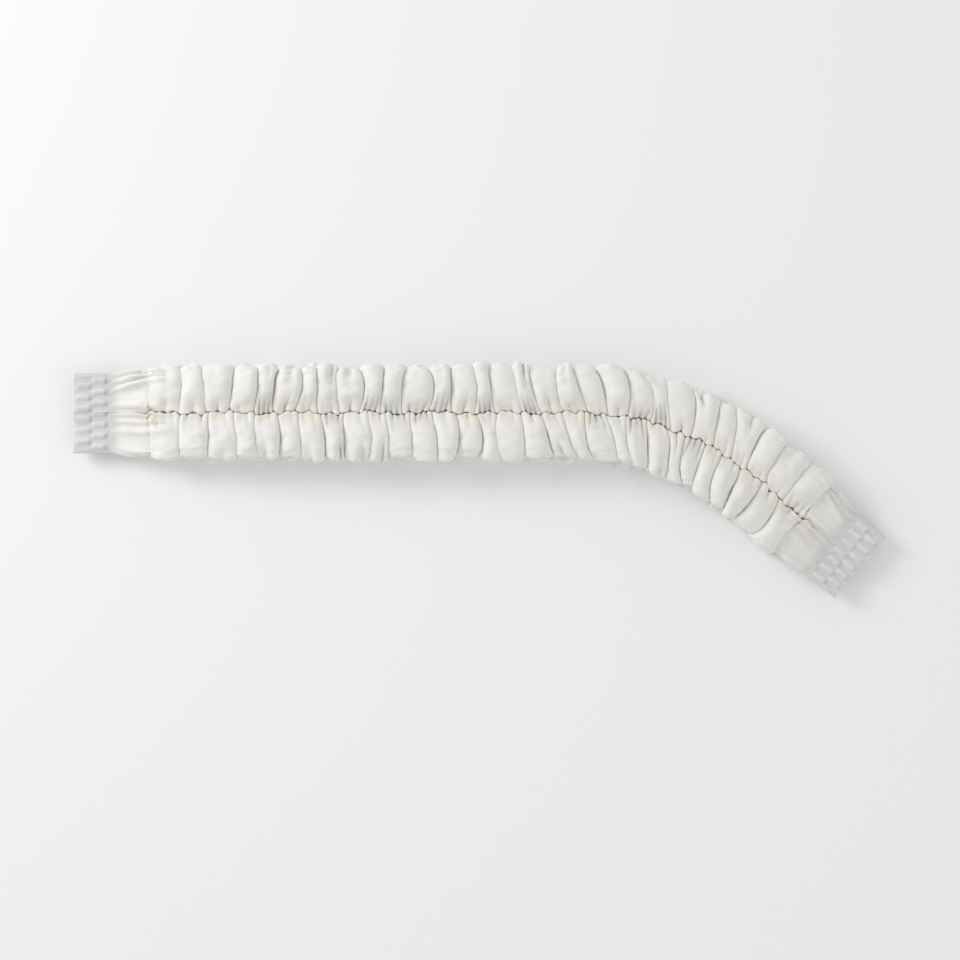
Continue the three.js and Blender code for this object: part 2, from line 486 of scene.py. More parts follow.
@dataclass(frozen=True)
class WeldTab:
    """The fused end of the strip: a thin waved plate with a ladder of raised bars."""

    half_width: float = 10 * MM
    thickness: float = 0.9 * MM
    bar_pitch: float = 2.75 * MM
    bar_length: float = 3.3 * MM
    bar_width: float = 1.2 * MM
    bar_columns: tuple[float, ...] = (2.5 * MM, 6.4 * MM)
    bar_rise: float = 0.65 * MM
    bar_sides: Range = (0.32, 0.68)
    bar_ends: Range = (0.42, 0.55)
    margin: Range = (0.9, 0.97)
    waves: tuple[Wave, ...] = (Wave(0.35 * MM, 1 / 2.6), Wave(0.25 * MM, 1 / 1.3, 1.0))
    wave_length: float = 12 * MM

    def bars(self, from_cut: np.ndarray, across: np.ndarray) -> np.ndarray:
        """The ladder: 1 on a raised bar, 0 on the pressed ground, with soft edges.

        Bars lie along the strip in two columns, and the second column stands half a pitch aside.

        Args:
            from_cut: distance from the cut edge.
            across: distance across the tab.

        Returns:
            A grid from 0 to 1.
        """
        raised = np.zeros(np.broadcast(from_cut, across).shape)
        sides = [share * self.bar_width for share in self.bar_sides]
        ends = [share * self.bar_length for share in self.bar_ends]
        for number, middle in enumerate(self.bar_columns, start=1):
            shifted = across / self.bar_pitch + number / 2
            aside = np.abs(shifted - np.round(shifted)) * self.bar_pitch
            within = 1.0 - ease(*ends, np.abs(from_cut - middle))
            raised = np.maximum(raised, (1.0 - ease(*sides, aside)) * within)
        edges = [share * self.half_width for share in self.margin]
        return raised * (1.0 - ease(*edges, np.abs(across)))

    def sway(self, from_cut: np.ndarray, across: np.ndarray) -> np.ndarray:
        """How far the plate waves up and down across the strip, fading away from the cut edge."""
        waves = sum(wave.at(across) for wave in self.waves)
        return waves * ease(0.0, 1.0, 1.0 - from_cut / self.wave_length)


@dataclass(frozen=True)
class FanFolds:
    """Folds that run out of a weld and die away in the first puff."""

    size: float = 1.3 * MM
    rate: float = 0.95
    wobble: Wave = Wave(0.7, 0.53, 1.0)
    skew: float = 0.12
    skew_rate: float = 0.4
    reach: float = 1.7
    start_power: float = 0.7
    bell_power: float = 1.5

    def at(self, line: StripLine, across: np.ndarray, grid: Grid) -> np.ndarray:
        """Heights of the folds.

        A fold's profile across the strip is 1 - |sin|, with a wave that widens and narrows. Along
        the strip it follows a power of a sine, 0 at the weld and again past the first crease.

        Args:
            line: the strip's middle line.
            across: distance across the full strip.
            grid: the columns' grids.

        Returns:
            A grid of heights, 0 away from the fans.
        """
        past_weld = grid["from_cut"] - line.tab_length
        skew = self.skew * past_weld * np.sin(across / MM * self.skew_rate + grid["backness"])
        phase = (across + skew) / MM * self.rate + self.wobble.at(across)
        share = np.clip(past_weld / (self.reach * line.fan_length), 0.0, 1.0)
        strength = np.sin(math.pi * share**self.start_power) ** self.bell_power
        return self.size * strength * (1.0 - np.abs(np.sin(phase)))


@dataclass(frozen=True)
class LayerWave:
    """Rise and fall of the layers between the top and the underside, which wave as ruffles do."""

    size: float = 0.8 * MM
    main: Wave = Wave(1.0, 0.61)
    drift: Wave = Wave(1.5, 0.113)
    second: Wave = Wave(0.6, 1.17, 2.0)
    back_shift: float = 23 * MM
    outer: Range = (0.45, 0.9)

    def at(self, across: np.ndarray, level: np.ndarray, grid: Grid) -> np.ndarray:
        """Heights of the wave: a sine of drifting phase, and a shorter one.

        Args:
            across: share of the half width, with its sign.
            level: share of the height.
            grid: the columns' grids.

        Returns:
            A grid of heights, 0 on the top and on the underside.
        """
        along = grid["along"] + self.back_shift * grid["backness"]
        main = self.main.size * np.sin(along / MM * self.main.rate + self.drift.at(along))
        within = arch(level) * ease(*self.outer, np.abs(across))
        return self.size * (main + self.second.at(along)) * within * grid["spread"]


@dataclass(frozen=True)
class SlitLine:
    """The closed slit between the hems: it wanders, and opens into small pits."""

    waves: tuple[Wave, ...] = (
        Wave(0.3 * MM, 1.31),
        Wave(0.2 * MM, 2.27, 1.0),
        Wave(0.3 * MM, 0.37),
    )
    pit: float = 0.3 * MM
    pit_levels: Range = (0.8, 1.0)
    reach: float = 0.14

    def at(self, across: np.ndarray, level: np.ndarray, grid: Grid) -> np.ndarray:
        """How far the hem edges stand from the middle line.

        The wander is a sum of sines along the strip, the same for both hems. A hem also draws back
        where its puckers are low, which opens the pits. Both fade away from the slit.

        Args:
            across: share of the half width, with its sign.
            level: share of the height.
            grid: the columns' grids.

        Returns:
            A grid of distances to the left.
        """
        wander = sum(wave.at(grid["along"]) for wave in self.waves)
        pit = self.pit * (1.0 - grid["split"]) ** 2 * ease(*self.pit_levels, level)
        near = grid["spread"] ** 2 * bell(across, self.reach)
        return (wander + pit * np.sign(across)) * near


@dataclass(frozen=True)
class Wrinkles:
    """How much the sheet grows, and how far it may move, from place to place."""

    flap_level: float = 0.8
    flap_room: float = 0.7 * MM
    fold_room: float = 0.45 * MM
    floor_level: float = 0.03
    slit_hold: float = 0.12
    crease_room: float = 0.15
    fan_room: float = 0.5
    growth_along: float = 0.24
    growth_across: float = 0.04
    fan_growth_along: float = 0.1
    fan_growth_across: float = 0.3

    def add(self, points: np.ndarray, across: np.ndarray, level: np.ndarray, grid: Grid) -> np.ndarray:
        """Lets the sheet grow, most on the flaps and least in the creases and on the underside.

        In the fans it grows across the strip, so that folds run out of the welds there.

        Args:
            points: grid of places.
            across: share of the half width, with its sign.
            level: share of the height.
            grid: the columns' grids.

        Returns:
            The wrinkled grid of places.
        """
        fan = arch(grid["spread"])
        room = np.where(level > self.flap_level, self.flap_room, self.fold_room)
        room = room * (level > self.floor_level) * ease(0.0, self.slit_hold, np.abs(across))
        loose = np.clip(grid["crest"], self.crease_room, 1.0) * grid["spread"] + self.fan_room * fan
        along = np.where(fan > 0.0, self.fan_growth_along, self.growth_along) * grid["spread"]
        sideways = self.growth_across + self.fan_growth_across * fan
        return Crumple().relax(points, room * loose, (along, sideways))


@dataclass
class CapSheet:
    """The cap's one sheet of nonwoven, folded, gathered and welded: the crown node's look."""

    line: StripLine = field(default_factory=StripLine)
    chart: FoldChart = field(default_factory=FoldChart)
    flap: FlapProfile = field(default_factory=FlapProfile)
    tab: WeldTab = field(default_factory=WeldTab)
    fan: FanFolds = field(default_factory=FanFolds)
    layers: LayerWave = field(default_factory=LayerWave)
    slit: SlitLine = field(default_factory=SlitLine)
    wrinkles: Wrinkles = field(default_factory=Wrinkles)
    dents: tuple[Ripple, ...] = (
        Ripple(21, 0.16 * MM, 2.4 * MM, 7 * MM),
        Ripple(22, 0.045 * MM, 1.2 * MM, 2.6 * MM),
    )
    edge_dents: Ripple = Ripple(23, 0.22 * MM, 1.6 * MM, 4.5 * MM)
    seeds: tuple[tuple[Side, int], ...] = ((Side.FRONT, 11), (Side.BACK, 4))
    cloth: float = 0.22 * MM
    cloth_share: float = 0.075
    puff_count: int = 30
    puff_steps: int = 12
    fan_steps: int = 15
    tab_steps: int = 22
    lean: float = -0.28
    slant_pivot: float = 0.3
    outer_folds: Range = (0.5, 0.95)
    split_power: float = 0.8
    nick_width: float = 0.12
    nick_range: Range = (0.35, 0.9)
    fan_crest: float = 0.6
    fan_split: float = 0.5
    fan_split_reach: float = 0.3
    under_change: Range = (-0.6, 0.6)
    edge_notch: float = 0.1
    scallop: float = 0.1
    edge_range: Range = (0.6, 1.0)
    tilt_range: Range = (0.05, 0.5)
    relief_levels: Range = (0.8, 1.0)
    bars_fade: Range = (0.0, 0.2)
    closed_edge: float = 0.004
    dent_floor: float = 0.15
    dent_in_weld: float = 0.3
    puff_rise: float = 0.28
    fold_shift: float = 17 * MM
    level_shift: float = 8 * MM
    hem_tint: Range = (0.12, 0.36)
    # Spread over which the welds' grey ground, partly painted shade, fades out.
    weld_tone_and_shade_range: Range = (0.0, 0.15)
    puffs: dict[Side, PuffRow] = field(init=False)
    across: np.ndarray = field(init=False)
    level: np.ndarray = field(init=False)
    owner: np.ndarray = field(init=False)
    backness: np.ndarray = field(init=False)

    def __post_init__(self) -> None:
        """Draws both rows of puffs and lays out the grid's rows."""
        start = self.line.tab_length + self.line.fan_length
        end = self.line.length - start
        folds = self.chart.outer_folds
        self.puffs = {
            side: PuffRow(seed, self.puff_count, start, end, folds, self.lean * side.value)
            for side, seed in self.seeds
        }
        half, owner = self.chart.half()
        back = half[::-1][1:]
        self.across = np.concatenate([-half[:, 0], back[:, 0]])[None, :]
        self.level = np.concatenate([half[:, 1], back[:, 1]])[None, :]
        self.owner = np.concatenate([owner, owner[::-1][1:]])
        is_under = np.abs(self.level) < TINY
        blend = ease(*self.under_change, self.across)
        self.backness = np.where(is_under, blend, (self.across > 0).astype(float))

    @property
    def out(self) -> np.ndarray:
        """Each row's share of the half width, without its sign."""
        return np.abs(self.across)

    def rows(self, front: np.ndarray, back: np.ndarray) -> np.ndarray:
        """Values of both halves, one a column, as a grid that changes over on the underside."""
        return mix(front[:, None], back[:, None], self.backness)

    def drawn(self, name: str, index: np.ndarray) -> np.ndarray:
        """A drawn quantity of both halves at each column's puff or border, as a grid."""
        front = getattr(self.puffs[Side.FRONT], name)[index]
        back = getattr(self.puffs[Side.BACK], name)[index]
        return self.rows(front, back)

    def drawn_by_fold(self, name: str, index: np.ndarray) -> np.ndarray:
        """A quantity that is drawn for each outer fold, at each column and row, as a grid."""
        front = getattr(self.puffs[Side.FRONT], name)[index][:, self.owner]
        back = getattr(self.puffs[Side.BACK], name)[index][:, self.owner]
        return mix(front, back, self.backness)

    def border(self, index: np.ndarray) -> np.ndarray:
        """Where each column's crease lies along the strip: its place, slanted, bowed and staggered.

        Args:
            index: each column's crease.

        Returns:
            A grid of distances along.
        """
        slant = self.drawn("slant", index) * (self.out - self.slant_pivot) * self.line.half_width
        bow = self.drawn("bow", index) * arch(self.out)
        stagger = self.drawn_by_fold("stagger", index) * ease(*self.outer_folds, self.out)
        return self.drawn("border", index) + slant + bow + stagger

    def gathers(self) -> Grid:
        """Columns of the gathered run.

        A puff's outline along the strip is half an ellipse: place -cos(a) and height sin(a), with a
        from 0 to pi, so creases are narrow and tops are round.

        Returns:
            Grids of the distance along, the crest from 0 to 1, the bare puff height from 0 to 1, the
            pucker at the hem and its reach, the tilt of the tops, and the reach of the outer folds.
        """
        position = np.arange(self.puff_count * self.puff_steps + 1) / self.puff_steps
        puff = np.minimum(position.astype(int), self.puff_count - 1)
        angle = math.pi * (position - puff)
        place = 0.5 - 0.5 * np.cos(angle)
        height = np.clip(np.sin(angle), 0.0, 1.0)[:, None]
        along = mix(self.border(puff), self.border(puff + 1), place[:, None])
        floor = mix(self.drawn("floor", puff), self.drawn("floor", puff + 1), place[:, None])
        nick = bell(place[:, None] - self.drawn("nick_place", puff), self.nick_width)
        nick = nick * self.drawn("nick", puff) * ease(*self.nick_range, self.out)
        split = self.rows(*(
            np.abs(np.sin(math.pi * place * self.puffs[side].splits[puff])) ** self.split_power
            for side in Side
        ))
        reach = self.drawn_by_fold("reach", puff)
        return {
            "along": along,
            "crest": mix(floor, self.drawn("height", puff), height) - nick * height,
            "bare": np.broadcast_to(height, along.shape),
            "split": split,
            "split_reach": self.drawn("split_reach", puff),
            "tilt": self.drawn("tilt", puff) * height,
            "reach": mix(1.0, reach, height * ease(*self.outer_folds, self.out)),
        }

    def end(self, from_cut: np.ndarray, far: bool) -> Grid:
        """Columns of one end: the weld and the fan up to the first or last crease.

        Args:
            from_cut: each column's distance from the cut edge.
            far: true at the far end of the strip.

        Returns:
            The grids that gathers() gives.
        """
        index = np.full(len(from_cut), self.puff_count if far else 0)
        share = np.clip((from_cut - self.line.tab_length) / self.line.fan_length, 0.0, 1.0)[:, None]
        border = self.border(index)
        if far:
            border = self.line.length - border
        along = np.where(share > 0.0, mix(self.line.tab_length, border, share), from_cut[:, None])
        crest = mix(self.fan_crest, self.drawn("floor", index), ease(0.0, 1.0, share))
        zero = np.zeros(crest.shape)
        return {
            "along": self.line.length - along if far else along,
            "crest": crest,
            "bare": zero,
            "split": zero + self.fan_split,
            "split_reach": zero + self.fan_split_reach,
            "tilt": zero,
            "reach": zero + 1.0,
        }

    def columns(self) -> Grid:
        """All columns from cut edge to cut edge.

        Returns:
            The grids that gathers() gives, with from_cut, the distance from the nearer cut edge,
            spread, 0 in a weld and 1 in the gathers, and backness, 0 in front and 1 at the back.
        """
        weld = np.linspace(0.0, self.line.tab_length, self.tab_steps + 1)
        fan = self.line.tab_length + self.line.fan_length * np.arange(1, self.fan_steps) / self.fan_steps
        from_cut = np.concatenate([weld, fan])
        runs = [self.end(from_cut, False), self.gathers(), self.end(from_cut[::-1], True)]
        grid = {name: np.concatenate([run[name] for run in runs]) for name in runs[0]}
        grid["from_cut"] = self.line.from_cut(grid["along"])
        grid["spread"] = self.line.spread(grid["along"])
        grid["spread"][len(from_cut):-len(from_cut)] = 1.0
        grid["backness"] = np.broadcast_to(self.backness, grid["along"].shape)
        return grid

    def flat_place(self, grid: Grid) -> tuple[np.ndarray, np.ndarray]:
        """Rough place of each point on the flat sheet, so that no two layers share their dents."""
        along = grid["along"] + self.puff_rise * grid["bare"] * self.flap.crest_top
        across = self.across * self.line.half_width + self.level_shift * self.level
        return along + self.fold_shift * self.owner, across

    def heights(self, grid: Grid) -> tuple[np.ndarray, np.ndarray]:
        """Top and bottom of the stack of layers under each point.

        In the gathers they follow the flap's profile, lower near the welds. In a weld they are the
        fused tab's faces. Dents lie on the top.

        Args:
            grid: the columns' grids.

        Returns:
            Two grids of heights.
        """
        bottom = self.flap.bottom(grid["crest"])
        top = bottom + (self.flap.top(self.out, grid) - bottom) * self.line.settle(grid["along"])
        sway = self.tab.sway(grid["from_cut"], self.across * self.tab.half_width)
        middle = self.line.tab_height + sway
        top = mix(middle + self.tab.thickness / 2, top, grid["spread"])
        bottom = mix(middle - self.tab.thickness / 2, bottom, grid["spread"])
        dents = sum(ripple.at(*self.flat_place(grid)) for ripple in self.dents)
        dents = dents * (self.dent_floor + grid["crest"]) * mix(self.dent_in_weld, 1.0, grid["spread"])
        return top + dents, bottom

    def sideways(self, grid: Grid) -> np.ndarray:
        """Distance of each point across the strip.

        In the gathers it is the row's share of the half width, notched in creases, scalloped between
        them, crumpled at the edge and swayed at the slit. In a weld the slit is shut.

        Args:
            grid: the columns' grids.

        Returns:
            A grid of distances to the left.
        """
        notch = self.edge_notch * (1.0 - np.clip(grid["crest"], 0.0, 1.0))
        notch = self.out**3 * (notch + self.scallop * (1.0 - grid["bare"]))
        body = self.across * (self.line.half_width - self.cloth) * (1.0 - notch) * grid["reach"]
        crumple = self.edge_dents.at(*self.flat_place(grid)) - self.edge_dents.size
        crumple = np.sign(self.across) * crumple * ease(*self.edge_range, self.out)
        swayed = body + self.slit.at(self.across, self.level, grid) + crumple
        shut = np.sign(self.across) * np.maximum(self.out - self.chart.slit_edge, self.closed_edge)
        return mix(shut * self.tab.half_width, swayed, grid["spread"])

    def surface(self) -> Grid:
        """The middle of the sheet and what goes with it.

        A point's height is its level's share of the stack, plus the bars and fan folds on the top
        layer and the wave of the layers between.

        Returns:
            Points, thickness, and the shares of hem and weld at each point of the grid; the weld share
            greys the welds' ground between the bars, partly the fused film's own tone and partly painted
            shade.
        """
        grid = self.columns()
        spread = grid["spread"]
        top, bottom = self.heights(grid)
        stack = top - bottom
        bars = self.tab.bars(grid["from_cut"], self.across * self.tab.half_width)
        bars = bars * (1.0 - ease(*self.bars_fade, spread))
        relief = self.tab.bar_rise * bars
        relief = relief + self.fan.at(self.line, self.across * self.line.half_width, grid)
        up = bottom + self.level * stack + relief * ease(*self.relief_levels, self.level)
        up = up + self.layers.at(self.across, self.level, grid)
        along = grid["along"] + grid["tilt"] * self.level * ease(*self.tilt_range, self.out)
        cloth = np.minimum(self.cloth, self.cloth_share * stack)
        points = self.line.place(along, self.sideways(grid), up + cloth / 2)
        points = self.wrinkles.add(points, self.across, self.level, grid)
        points[..., 2] = np.maximum(points[..., 2], cloth)
        hem = np.where(self.level >= self.chart.hem_level, 1.0 - ease(*self.hem_tint, self.out), 0.0)
        # Weld mark: the ground round the raised bars is drawn greyer, partly the fused film's own tone
        # and partly painted shade in the recess.
        weld = (1.0 - bars) * (1.0 - ease(*self.weld_tone_and_shade_range, spread))
        return {"points": points, "cloth": cloth, "hem": hem * spread**2, "weld": weld}

    def build(self) -> bpy.types.Object:
        """Returns:
            The new object, which stands for the crown node.
        """
        made = self.surface()
        shell = Shell("crown_sheet", made["points"], made["cloth"])
        piece = shell.build({"hem": made["hem"], "weld": made["weld"]})
        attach(piece, "root")
        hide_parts("crown")
        return piece


@dataclass
class Shell:
    """A thin closed shell round a grid of points: two skins and a rim."""

    name: str
    points: np.ndarray
    thickness: np.ndarray

    def normals(self) -> np.ndarray:
        """Unit normals of the grid: the cross product of its two directions."""
        along = np.gradient(self.points, axis=0)
        across = np.gradient(self.points, axis=1)
        normal = np.cross(along, across)
        size = np.linalg.norm(normal, axis=-1, keepdims=True)
        return normal / np.maximum(size, TINY)

    def arcs(self) -> tuple[np.ndarray, np.ndarray]:
        """Mean length of the sheet up to each column and up to each row."""
        steps = np.linalg.norm(np.diff(self.points, axis=0), axis=-1).mean(axis=1)
        rises = np.linalg.norm(np.diff(self.points, axis=1), axis=-1).mean(axis=0)
        return np.concatenate([[0.0], np.cumsum(steps)]), np.concatenate([[0.0], np.cumsum(rises)])

    def flat_map(self) -> np.ndarray:
        """Each vertex's place on the flat sheet, in metres, for both skins."""
        flat = np.stack(np.meshgrid(*self.arcs(), indexing="ij"), axis=-1).reshape(-1, 2)
        return np.tile(flat, (2, 1))

    @staticmethod
    def quads(index: np.ndarray) -> np.ndarray:
        """Faces of a grid of vertex numbers, as rows of four."""
        corners = (index[:-1, :-1], index[1:, :-1], index[1:, 1:], index[:-1, 1:])
        return np.stack(corners, axis=-1).reshape(-1, 4)

    def build(self, attributes: Grid) -> bpy.types.Object:
        """Makes the mesh: a skin half the thickness away on each side, joined round the rim.

        Args:
            attributes: named grids of one value a point, kept as float attributes.

        Returns:
            The new object, linked to the scene.
        """
        columns, rows = self.points.shape[:2]
        offset = self.normals() * (self.thickness / 2)[..., None]
        skins = np.stack([self.points + offset, self.points - offset])
        index = np.arange(2 * columns * rows).reshape(2, columns, rows)
        sides = (index[:, :, 0], index[:, -1, 1:], index[:, ::-1, -1][:, 1:], index[:, 0, ::-1][:, 1:])
        rim = np.concatenate(sides, axis=1)
        faces = np.concatenate([self.quads(index[0]), self.quads(index[1])[:, ::-1], self.quads(rim)])
        values = {name: np.tile(grid.ravel(), 2) for name, grid in attributes.items()}
        return make_mesh(self.name, skins.reshape(-1, 3), faces, self.flat_map(), values)


def make_mesh(
    name: str,
    points: np.ndarray,
    faces: np.ndarray,
    flat: np.ndarray,
    attributes: Grid,
) -> bpy.types.Object:
    """Puts arrays into a new smooth mesh object at the origin.

    Args:
        name: of the object and its mesh.
        points: vertices, in metres.
        faces: rows of four vertex numbers.
        flat: each vertex's place on the flat material, for the UV map.
        attributes: named values, one a vertex.

    Returns:
        The new object, linked to the scene.
    """
    corners = faces.shape[1]
    mesh = bpy.data.meshes.new(name)
    mesh.vertices.add(len(points))
    mesh.vertices.foreach_set("co", points.astype(np.float32).ravel())
    mesh.loops.add(faces.size)
    mesh.loops.foreach_set("vertex_index", faces.astype(np.int32).ravel())
    mesh.polygons.add(len(faces))
    mesh.polygons.foreach_set("loop_start", np.arange(0, faces.size, corners, dtype=np.int32))
    mesh.polygons.foreach_set("use_smooth", np.ones(len(faces), dtype=bool))
    flat_corners = flat[faces.ravel()].astype(np.float32)
    mesh.uv_layers.new(name=FLAT_MAP).uv.foreach_set("vector", flat_corners.ravel())
    for key, values in attributes.items():
        mesh.attributes.new(key, "FLOAT", "POINT").data.foreach_set("value", values.astype(np.float32))
    mesh.update(calc_edges=True)
    mesh.validate()
    piece = bpy.data.objects.new(name, mesh)
    bpy.context.scene.collection.objects.link(piece)
    return piece


@dataclass
class HemElastic:
    """A flat elastic band that lies in one hem: the look of an elastic node."""

    side: Side
    line: StripLine = field(default_factory=StripLine)
    from_end: float = 20 * MM
    width: float = 2.5 * MM
    thickness: float = 0.45 * MM
    aside: float = 3.3 * MM
    height: float = 7.15 * MM
    tip_size: float = 0.02
    steps: int = 360
    sides: int = 16

    @property
    def node(self) -> str:
        """Name of the frame's node that the band stands for."""
        return "elastic_back" if self.side is Side.BACK else "elastic_front"

    def surface(self) -> tuple[np.ndarray, np.ndarray]:
        """Carries a rounded flat section along the hem.

        The section is a superellipse: |across / half width|^4 + |up / half thickness|^4 = 1. Its size
        falls to nearly nothing at each end.

        Returns:
            Points, and their places on the flat band, a ring of the section for each column.
        """
        along = np.linspace(self.from_end, self.line.length - self.from_end, self.steps + 1)
        along = np.concatenate([along[:1], along, along[-1:]])[:, None]
        size = np.ones_like(along)
        size[[0, -1]] = self.tip_size
        turn = np.linspace(0.0, 1.0, self.sides + 1)[None, :-1]
        circle = [wave(2.0 * math.pi * turn) for wave in (np.cos, np.sin)]
        wide, high = [np.sign(wave) * np.sqrt(np.abs(wave)) for wave in circle]
        spread = self.line.spread(along)
        level = mix(self.line.tab_height, self.height * self.line.settle(along), spread)
        across = self.side.value * self.aside + wide * self.width / 2 * size
        up = level + high * self.thickness / 2 * size * spread
        flat = np.stack(np.broadcast_arrays(along, turn * self.width), axis=-1)
        return self.line.place(along, across, up), flat

    def build(self) -> bpy.types.Object:
        """Makes the band and closes both ends.

        Returns:
            The new object, which stands for the side's elastic node.
        """
        points, flat = self.surface()
        index = np.arange(points.shape[0] * self.sides).reshape(-1, self.sides)
        wrapped = np.concatenate([index, index[:, :1]], axis=1)
        caps = [self.cap(index[0])[:, ::-1], self.cap(index[-1])]
        faces = np.concatenate([Shell.quads(wrapped)[:, ::-1], *caps])
        piece = make_mesh(f"{self.node}_band", points.reshape(-1, 3), faces, flat.reshape(-1, 2), {})
        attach(piece, "root")
        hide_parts(self.node)
        LOG.info("%s: %d faces", piece.name, len(faces))
        return piece

    @staticmethod
    def cap(ring: np.ndarray) -> np.ndarray:
        """Quads that close an even ring of vertex numbers, rung by rung."""
        half = len(ring) // 2
        low, high = ring[:half], ring[:half - 1:-1]
        return np.stack([low[:-1], low[1:], high[1:], high[:-1]], axis=-1)


@dataclass(frozen=True)
class Relief:
    """Bump of a finish: what height 1 stands for, in metres, and the share of it that shows."""

    depth: float
    strength: float


class NodeKit:
    """Short calls for a material's node tree."""

    def __init__(self, name: str) -> None:
        """Starts a material with a Principled shader on its output."""
        self.material = bpy.data.materials.new(name)
        self.material.use_nodes = True
        self.tree = self.material.node_tree
        self.shader = self.tree.nodes["Principled BSDF"]

    def node(self, kind: str, **values: object) -> bpy.types.Node:
        """Adds a node and sets its properties, or its inputs where the key is a socket's name.

        Args:
            kind: the node's type name.
            values: properties by attribute name, or inputs with _ for spaces.

        Returns:
            The new node.
        """
        made = self.tree.nodes.new(kind)
        for key, value in values.items():
            if hasattr(made, key):
                setattr(made, key, value)
            else:
                made.inputs[key.replace("_", " ")].default_value = value
        return made

    def link(self, source: Socket, target: Socket) -> None:
        """Joins two sockets."""
        self.tree.links.new(source, target)

    def flat(self) -> Socket:
        """The place on the flat material, in metres."""
        return self.node("ShaderNodeUVMap", uv_map=FLAT_MAP).outputs["UV"]

    def attribute(self, name: str) -> Socket:
        """A value that the mesh keeps for each vertex."""
        return self.node("ShaderNodeAttribute", attribute_name=name).outputs["Fac"]

    def texture(self, kind: str, place: Socket, result: str, **values: object) -> Socket:
        """Adds a texture on given coordinates.

        Args:
            kind: the node's type name.
            place: the coordinates' socket.
            result: name of the output that is used.
            values: the node's properties and inputs.

        Returns:
            The output's socket.
        """
        made = self.node(kind, **values)
        self.link(place, made.inputs["Vector"])
        return made.outputs[result]

    def ramp(self, source: Socket, within: Range, to: Range = (0.0, 1.0)) -> Socket:
        """A value carried from one range to another, and clamped.

        Args:
            source: the value's socket.
            within: range of what comes in.
            to: what the range's ends become.

        Returns:
            The socket of the new value.
        """
        low, high = within
        start, end = to
        made = self.node("ShaderNodeMapRange", From_Min=low, From_Max=high, To_Min=start, To_Max=end)
        self.link(source, made.inputs["Value"])
        return made.outputs["Result"]

    def product(self, first: Socket, second: Socket) -> Socket:
        """Two values multiplied."""
        made = self.node("ShaderNodeMath", operation="MULTIPLY")
        for source, target in zip((first, second), made.inputs):
            self.link(source, target)
        return made.outputs["Value"]

    def blend(
        self,
        share: Socket,
        first: Socket | Colour,
        second: Socket | Colour,
    ) -> Socket:
        """Mixes two colours, each a socket or a plain colour.

        Args:
            share: 0 for the first, 1 for the second.
            first: colour at 0.
            second: colour at 1.

        Returns:
            The socket of the mixed colour.
        """
        made = self.node("ShaderNodeMix", data_type="RGBA")
        self.link(share, made.inputs["Factor"])
        sockets = [socket for socket in made.inputs if socket.type == "RGBA"]
        for socket, colour in zip(sockets, (first, second)):
            if isinstance(colour, Socket):
                self.link(colour, socket)
            else:
                socket.default_value = (*colour, 1.0)
        return next(socket for socket in made.outputs if socket.type == "RGBA")

    def bump(
        self,
        height: Socket,
        relief: Relief,
        under: Socket | None = None,
    ) -> Socket:
        """Adds relief on top of any relief below it.

        Args:
            height: the relief's height, from 0 to 1.
            relief: its depth and strength.
            under: normal that the relief starts from.

        Returns:
            The socket of the new normal.
        """
        made = self.node("ShaderNodeBump", Strength=relief.strength, Distance=relief.depth)
        self.link(height, made.inputs["Height"])
        if under is not None:
            self.link(under, made.inputs["Normal"])
        return made.outputs["Normal"]

    def finish(self, **values: object) -> bpy.types.Material:
        """Sets the shader's own inputs, links those that are sockets, and gives the material.

        Args:
            values: inputs by name, with _ for spaces.

        Returns:
            The finished material.
        """
        for key, value in values.items():
            target = self.shader.inputs[key.replace("_", " ")]
            if isinstance(value, Socket):
                self.link(value, target)
            else:
                target.default_value = value
        return self.material


